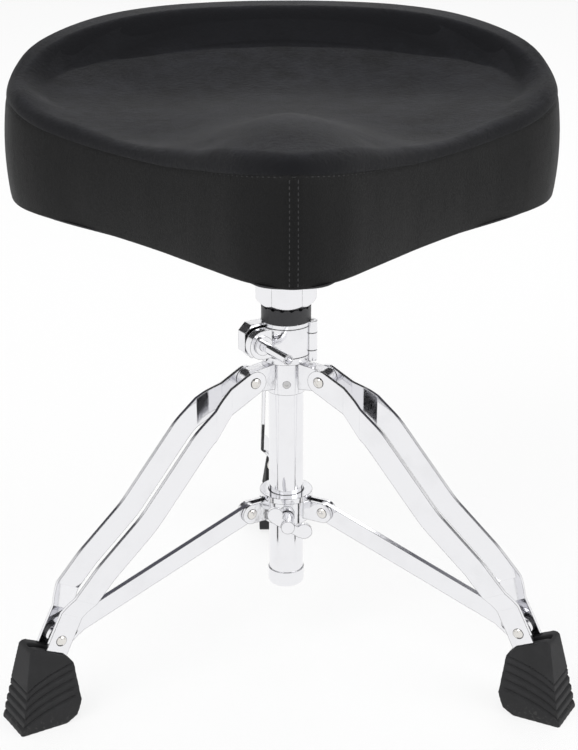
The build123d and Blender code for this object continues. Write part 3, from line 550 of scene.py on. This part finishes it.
def band_points(sizes):
    """Closed band: a profile carried round the edge, down the outside with a swell, under as a hem, and back
    up the inside. The swell is a power of a sine, less a narrow bell that draws it in at the seam, and two
    more bells sink the joint at the nose between soft ridges."""
    turns, _ = even_turns(sizes.columns)
    edge = round_the_seat(turns)
    line, seam = edge[:, :2], edge[:, 2]
    normal = outward(line)
    bulge, hem = sizes.band_bulge / MM, sizes.hem_width / MM
    down = np.linspace(0, 1, FACE_ROWS)
    swell = bulge * np.sin(np.pi * down) ** SWELL_POWER - 1.1 * np.exp(-(down / 0.03) ** 2)
    corner = np.linspace(0, np.pi / 2, CORNER_ROWS + 1)[1:]
    out = np.r_[swell, -CORNER * (1 - np.cos(corner)), -np.linspace(4.0, hem, HEM_ROWS),
                -hem, -5.0, np.full(BACK_ROWS, -3.0), -1.6]
    up = np.r_[1 - down, np.zeros(CORNER_ROWS + HEM_ROWS + 2), np.linspace(0, 1, BACK_ROWS), 1]
    drop = np.r_[np.zeros(FACE_ROWS), -CORNER * np.sin(corner), np.full(HEM_ROWS, -CORNER),
                 -2.2, -2.2, np.linspace(-1.0, -0.6, BACK_ROWS), 0.2]
    z = BAND_BASE + up[:, None] * (seam - BAND_BASE)[None] + drop[:, None]
    slack = slackness(turns)[None] * np.sin(np.pi * np.clip(up, 0, 1))[:, None] * 0.7
    nose = np.abs(line[:, 0]) * (line[:, 1] < 0) + 60 * (line[:, 1] >= 0)
    groove = -0.9 * np.exp(-(nose / 1.3) ** 2)
    pillow = 0.5 * np.exp(-((nose - 5.0) / 3.0) ** 2)
    face = (np.arange(len(out)) < FACE_ROWS)[:, None]
    reach = out[:, None] + (slack + (groove + pillow)[None]) * face
    x = line[None, :, 0] + normal[None, :, 0] * reach
    y = line[None, :, 1] + normal[None, :, 1] * reach
    return in_place(x, y, z)


def repeat_shape(unit, quads, centres, along, side, up):
    """One small shape copied to many places, each turned by its three unit directions."""
    points = (centres[:, None] + unit[None, :, 0, None] * along[:, None]
              + unit[None, :, 1, None] * side[:, None] + unit[None, :, 2, None] * up[:, None])
    faces = quads[None] + (np.arange(len(centres)) * len(unit))[:, None, None]
    return points.reshape(-1, 3), faces.reshape(-1, 4)


def stitch_shape(length, radius):
    """A bowed capsule: a ring carried along the stitch, its radius the root of one less the fourth power of
    the place from the middle, and its ends sunk by the square of it."""
    rings, sides = 7, 6
    t = np.linspace(-0.98, 0.98, rings)[:, None]
    a = np.linspace(0, 2 * np.pi, sides, endpoint=False)[None]
    r = radius * np.sqrt(1 - t ** 4) + 0.00002
    x = np.broadcast_to(t * length / 2, (rings, sides))
    unit = np.stack([x, r * np.cos(a), r * np.sin(a) - radius * 1.3 * t ** 2], -1).reshape(-1, 3)
    first = np.array([[0, 5, 4, 1], [1, 4, 3, 2]])
    last = np.array([[1, 4, 5, 0], [2, 3, 4, 1]]) + (rings - 1) * sides
    return unit, np.concatenate([grid_faces(rings, sides), first, last])


def unit_rows(rows):
    """Each row at a length of one."""
    return rows / np.linalg.norm(rows, axis=-1, keepdims=True)


# ------------------------------------------------------------------ rubber feet
def leg_plane(x, y, azimuth):
    """Plan directions turned into those of one leg: outwards along it, and sideways."""
    a = math.radians(azimuth)
    return x * math.cos(a) + y * math.sin(a), -x * math.sin(a) + y * math.cos(a)


def rib_grooves(r, z, depth):
    """Depth of five grooves. Each line climbs from the end face towards the post, steeply at first, by a
    rise that dies away exponentially and a steady slope. A groove is a bell across its line, and the rubber
    above it comes back by the square of the way left to the next. All fade at the sole and the inner end."""
    inward = np.clip(FOOT_END - FOOT_LEAN * z - r, 0, 60)
    climb = 9.0 * (1 - np.exp(-inward / 14.0)) + 0.16 * inward
    level = (z - climb - 6.0) / RIB_PITCH
    step = level - np.floor(level)
    trench = np.exp(-(np.minimum(step, 1 - step) / 0.13) ** 2) + 0.55 * (1 - step) ** 2
    kept = (level > -0.4) & (level < 4.02)
    fade = np.clip((z - 2.5) / 3.0, 0, 1) * np.clip((r - 206.5) / 4.0, 0, 1)
    return depth * np.minimum(trench, 1.2) * kept * fade


def ribbed_foot(side, azimuth, sizes, material):
    """The foot's own shape, evenly divided and eased at its corners, with the grooves pressed in square to
    its end face and its two sides."""
    source = frame["nodes"][f"{side}_foot"]
    piece = source.copy()
    piece.data = source.data.copy()
    piece.name = f"{side}_ribbed_foot"
    for key in list(piece.keys()):
        del piece[key]
    piece.parent = None
    bpy.context.scene.collection.objects.link(piece)
    weld = piece.modifiers.new("weld", "WELD")
    weld.merge_threshold = 0.00001
    even = piece.modifiers.new("even", "REMESH")
    even.mode = "VOXEL"
    even.voxel_size = 0.0009
    ease = piece.modifiers.new("ease", "SMOOTH")
    ease.iterations = 5
    ease.factor = 0.5
    depsgraph = bpy.context.evaluated_depsgraph_get()
    mesh = bpy.data.meshes.new_from_object(piece.evaluated_get(depsgraph))
    piece.modifiers.clear()
    piece.data = mesh
    count = len(mesh.vertices)
    points, normals = np.zeros(count * 3), np.zeros(count * 3)
    mesh.vertices.foreach_get("co", points)
    mesh.vertices.foreach_get("normal", normals)
    points, normals = points.reshape(-1, 3), normals.reshape(-1, 3)
    r, t = leg_plane(points[:, 0] / MM, points[:, 1] / MM - AXIS_Y, azimuth)
    z = points[:, 2] / MM
    n_r, n_t = leg_plane(normals[:, 0], normals[:, 1], azimuth)
    on_side = (n_t * np.sign(t) > 0.6) & (np.abs(t) > np.interp(z, *FOOT_HALF) - 1.6)
    on_end = (n_r > 0.6) & (r > FOOT_END - FOOT_LEAN * z - 1.8)
    points -= normals * (rib_grooves(r, z, sizes.rib_depth) * (on_side | on_end))[:, None]
    points[:, 2] = np.maximum(points[:, 2], 0)
    mesh.vertices.foreach_set("co", points.ravel())
    mesh.polygons.foreach_set("use_smooth", np.ones(len(mesh.polygons), bool))
    mesh.materials.clear()
    mesh.materials.append(material)
    mesh.update()
    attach(piece, f"{side}_leg")
    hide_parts(f"{side}_foot")


# ------------------------------------------------------------------ operators
FINISHES = {}


class THRONE_OT_finishes(bpy.types.Operator):
    """Make the finishes and give each metal, nylon and wood piece its own"""
    bl_idname = "throne.finishes"
    bl_label = "Finish the frame"

    def execute(self, context):
        FINISHES.update(make_finishes(context.scene.throne_colours))
        for part in frame["record"]["subparts"]:
            material = FINISHES.get(part["material_slot"])
            node = frame["nodes"][part["node"]]
            if material is None:
                continue
            if not node.material_slots:
                node.data.materials.append(material)
            for slot in node.material_slots:
                slot.material = material
        return {"FINISHED"}


class THRONE_OT_top_cover(bpy.types.Operator):
    """Lay the velour over the saddle"""
    bl_idname = "throne.top_cover"
    bl_label = "Velour top"

    def execute(self, context):
        points = top_cover_points(context.scene.throne_sizes)
        rows, columns = points.shape[:2]
        piece = make_piece("velour_top", points, grid_faces(rows, columns), FINISHES["velour"])
        close_poles(piece)
        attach(piece, "seat")
        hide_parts("seat_top_cover", "seat_foam")
        return {"FINISHED"}


class THRONE_OT_band(bpy.types.Operator):
    """Wrap the vinyl band round the saddle and turn its hem under"""
    bl_idname = "throne.band"
    bl_label = "Vinyl band"

    def execute(self, context):
        points = band_points(context.scene.throne_sizes)
        rows, columns = points.shape[:2]
        faces = grid_faces(rows, columns, True)[:, ::-1]
        piece = make_piece("vinyl_band", points, faces, FINISHES["vinyl"])
        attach(piece, "seat")
        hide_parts("seat_side_band")
        return {"FINISHED"}


class THRONE_OT_stitches(bpy.types.Operator):
    """Sew the seam round the top, the double seam at the nose, and staple the hem"""
    bl_idname = "throne.stitches"
    bl_label = "Stitches and staples"

    def execute(self, context):
        sizes = context.scene.throne_sizes
        pitch = sizes.stitch_pitch / MM
        _, length = even_turns(200)
        count = int(length / pitch)
        turns, _ = even_turns(count)
        edge = round_the_seat(turns)
        normal = outward(edge[:, :2])
        centres = np.c_[edge[:, :2] + normal * -0.1, edge[:, 2] - 2.6]
        along = unit_rows(np.roll(centres, -1, 0) - np.roll(centres, 1, 0))
        out = np.c_[normal, np.zeros(count)]
        side = unit_rows(np.cross(out, along))
        up = unit_rows(np.cross(along, side))
        unit, quads = stitch_shape(*STITCH)
        points, faces = repeat_shape(unit, quads, in_place(*centres.T), along, side, up)
        piece = make_piece("seam_stitches", points, faces, FINISHES["thread"])
        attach(piece, "seat")
        rises = np.arange(6.0, 82.0, 4.2)
        tall = edge[0, 2] - BAND_BASE
        share = (tall - rises) / tall
        swell = sizes.band_bulge / MM * np.sin(np.pi * (1 - share)) ** SWELL_POWER + 0.35
        centres = np.concatenate([
            np.stack([np.full_like(rises, offset), NOSE_Y - swell + abs(offset) * 0.09,
                      BAND_BASE + share * tall], -1) for offset in NOSE_ROWS])
        many = len(centres)
        up = np.tile([0.0, -1.0, 0.0], (many, 1))
        along = np.tile([0.0, 0.0, 1.0], (many, 1))
        points, faces = repeat_shape(unit, quads, in_place(*centres.T), along, np.cross(up, along), up)
        piece = make_piece("nose_stitches", points, faces, FINISHES["thread"])
        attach(piece, "seat")
        turns, _ = even_turns(STAPLES)
        edge = round_the_seat(turns)
        normal = outward(edge[:, :2])
        centres = np.c_[edge[:, :2] - normal * STAPLE_INSET, np.full(STAPLES, SEAT_BASE - 0.25)]
        along = np.c_[-normal[:, 1], normal[:, 0], np.zeros(STAPLES)]
        up = np.tile([0.0, 0.0, -1.0], (STAPLES, 1))
        unit, quads = stitch_shape(*STAPLE)
        points, faces = repeat_shape(unit, quads, in_place(*centres.T), along, np.cross(up, along), up)
        piece = make_piece("hem_staples", points, faces, FINISHES["zinc_screw"])
        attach(piece, "seat")
        return {"FINISHED"}


class THRONE_OT_feet(bpy.types.Operator):
    """Mould the three ribbed rubber feet"""
    bl_idname = "throne.feet"
    bl_label = "Rubber feet"

    def execute(self, context):
        for side, azimuth in LEGS.items():
            ribbed_foot(side, azimuth, context.scene.throne_sizes, FINISHES["black_rubber"])
        return {"FINISHED"}


class THRONE_OT_stage(bpy.types.Operator):
    """Set the floor, the white surround, the lamps and the camera"""
    bl_idname = "throne.stage"
    bl_label = "Stage"

    def execute(self, context):
        build_floor()
        build_world()
        for panel in LAMPS:
            lamp(*panel)
        place_camera()
        context.scene.view_settings.view_transform = "Standard"
        return {"FINISHED"}


def close_poles(piece):
    """Merge the rows that have shrunk to a point, and turn every face outwards."""
    mesh = bmesh.new()
    mesh.from_mesh(piece.data)
    bmesh.ops.remove_doubles(mesh, verts=mesh.verts, dist=1e-6)
    bmesh.ops.recalc_face_normals(mesh, faces=mesh.faces)
    mesh.to_mesh(piece.data)
    mesh.free()


def build_floor():
    """A large pale floor, four fifths clear to the eye from above and wholly clear from below, that takes
    the throne's shadow. The folded legs reach below it, and still show."""
    signs = ((-1, -1), (1, -1), (1, 1), (-1, 1))
    corners = [(x * FLOOR_REACH, y * FLOOR_REACH, -FLOOR_DROP) for x, y in signs]
    material = bpy.data.materials.new("pale_floor")
    material.use_nodes = True
    tree = material.node_tree
    tree.nodes.clear()
    wire = Wire(tree, None)
    ray = wire.node("ShaderNodeLightPath", None, 0)
    glossy = Wire(tree, ray.socket.node.outputs["Is Glossy Ray"])
    painted = wire.node("ShaderNodeBsdfDiffuse", None, 0, Color=(0.97, 0.97, 0.97, 1))
    lit = wire.node("ShaderNodeEmission", None, 0, Color=(1, 1, 1, 1), Strength=1.0)
    clear = wire.node("ShaderNodeBsdfTransparent", None, 0)
    side = wire.node("ShaderNodeNewGeometry", None, 0)
    behind = Wire(tree, side.socket.node.outputs["Backfacing"])
    above = wire.node("ShaderNodeMixShader", None, 0, i0=glossy * 0.93, i1=painted, i2=lit)
    mixed = wire.node("ShaderNodeMixShader", None, 0, i0=(behind * 0.2 + 0.8) * ray, i1=above, i2=clear)
    output = tree.nodes.new("ShaderNodeOutputMaterial")
    tree.links.new(mixed.socket, output.inputs[0])
    mesh = bpy.data.meshes.new("floor")
    mesh.from_pydata(corners, [], [(0, 1, 2, 3)])
    mesh.materials.append(material)
    floor = bpy.data.objects.new("floor", mesh)
    bpy.context.scene.collection.objects.link(floor)


def build_world():
    """White to the eye, pale grey as light, and for plated parts a white room with dark bars in it."""
    world = bpy.data.worlds.new("surround")
    world.use_nodes = True
    bpy.context.scene.world = world
    tree = world.node_tree
    tree.nodes.clear()
    wire = Wire(tree, None)
    ray = wire.node("ShaderNodeLightPath", None, 0)
    glossy = Wire(tree, ray.socket.node.outputs["Is Glossy Ray"])
    way = wire.node("ShaderNodeTexCoord", None, 0)
    angle = wire.node("ShaderNodeSeparateXYZ", None, 0, Vector=way)
    x, y, z = (Wire(tree, angle.socket.node.outputs[i]) for i in range(3))
    turn = x.maths("ARCTAN2", x, y)
    posts = turn.node("ShaderNodeValToRGB", {"stops": UPRIGHTS}, 0, Fac=turn / (2 * math.pi) + 0.5)
    ceiling = z.node("ShaderNodeValToRGB", {"stops": RINGS}, 0, Fac=z / 2 + 0.5)
    bars = wire.node("ShaderNodeMix", {"data_type": "RGBA", "blend_type": "MULTIPLY"}, 2,
                     i0=1.0, i6=posts, i7=ceiling)
    level = wire.node("ShaderNodeBackground", None, 0, Color=(1, 1, 1, 1), Strength=0.62)
    seen = wire.node("ShaderNodeBackground", None, 0, Color=bars, Strength=1.0)
    plain = wire.node("ShaderNodeBackground", None, 0, Color=(1, 1, 1, 1), Strength=1.0)
    room = wire.node("ShaderNodeMixShader", None, 0, i0=glossy, i1=level, i2=seen)
    whole = wire.node("ShaderNodeMixShader", None, 0, i0=ray, i1=room, i2=plain)
    output = tree.nodes.new("ShaderNodeOutputWorld")
    tree.links.new(whole.socket, output.inputs[0])


def lamp(name, place, size, power):
    """A square soft panel that faces the middle of the throne."""
    light = bpy.data.lights.new(name, "AREA")
    light.size = size
    light.energy = power
    holder = bpy.data.objects.new(name, light)
    bpy.context.scene.collection.objects.link(holder)
    holder.location = place
    way = Vector((0, AXIS_Y * MM, 0.3)) - Vector(place)
    holder.rotation_euler = way.to_track_quat("-Z", "Y").to_euler()


def place_camera():
    """A camera well above the seat and a little left of straight ahead, looking down at it."""
    turn, pitch = math.radians(CAMERA_TURN), math.radians(CAMERA_PITCH)
    data = bpy.data.cameras.new("camera")
    data.sensor_fit = "VERTICAL"
    data.sensor_height = FRAME_HEIGHT
    data.lens = CAMERA_LENS
    data.shift_x, data.shift_y = CAMERA_SHIFT
    camera = bpy.data.objects.new("camera", data)
    bpy.context.scene.collection.objects.link(camera)
    ahead = AXIS_Y * MM - CAMERA_REACH * math.cos(turn)
    camera.location = (-CAMERA_REACH * math.sin(turn), ahead, CAMERA_HEIGHT)
    camera.rotation_euler = (math.pi / 2 - pitch, 0, -turn)
    bpy.context.scene.camera = camera


class THRONE_PT_panel(bpy.types.Panel):
    """The throne's pieces and sizes"""
    bl_label = "Drum throne"
    bl_space_type = "VIEW_3D"
    bl_region_type = "UI"
    bl_category = "Throne"

    def draw(self, context):
        for operator in OPERATORS:
            self.layout.operator(operator.bl_idname)
        for group in (context.scene.throne_sizes, context.scene.throne_colours):
            for name in group.__annotations__:
                self.layout.prop(group, name)


OPERATORS = (THRONE_OT_finishes, THRONE_OT_top_cover, THRONE_OT_band, THRONE_OT_stitches, THRONE_OT_feet,
             THRONE_OT_stage)
CLASSES = (DressingSizes, DressingColours, *OPERATORS, THRONE_PT_panel)


def register():
    for item in CLASSES:
        bpy.utils.register_class(item)
    bpy.types.Scene.throne_sizes = PointerProperty(type=DressingSizes)
    bpy.types.Scene.throne_colours = PointerProperty(type=DressingColours)


def unregister():
    del bpy.types.Scene.throne_colours
    del bpy.types.Scene.throne_sizes
    for item in reversed(CLASSES):
        bpy.utils.unregister_class(item)


def main():
    """Build everything in order."""
    register()
    bpy.ops.throne.finishes()
    bpy.ops.throne.top_cover()
    bpy.ops.throne.band()
    bpy.ops.throne.stitches()
    bpy.ops.throne.feet()
    bpy.ops.throne.stage()


if __name__ == "__main__":
    main()
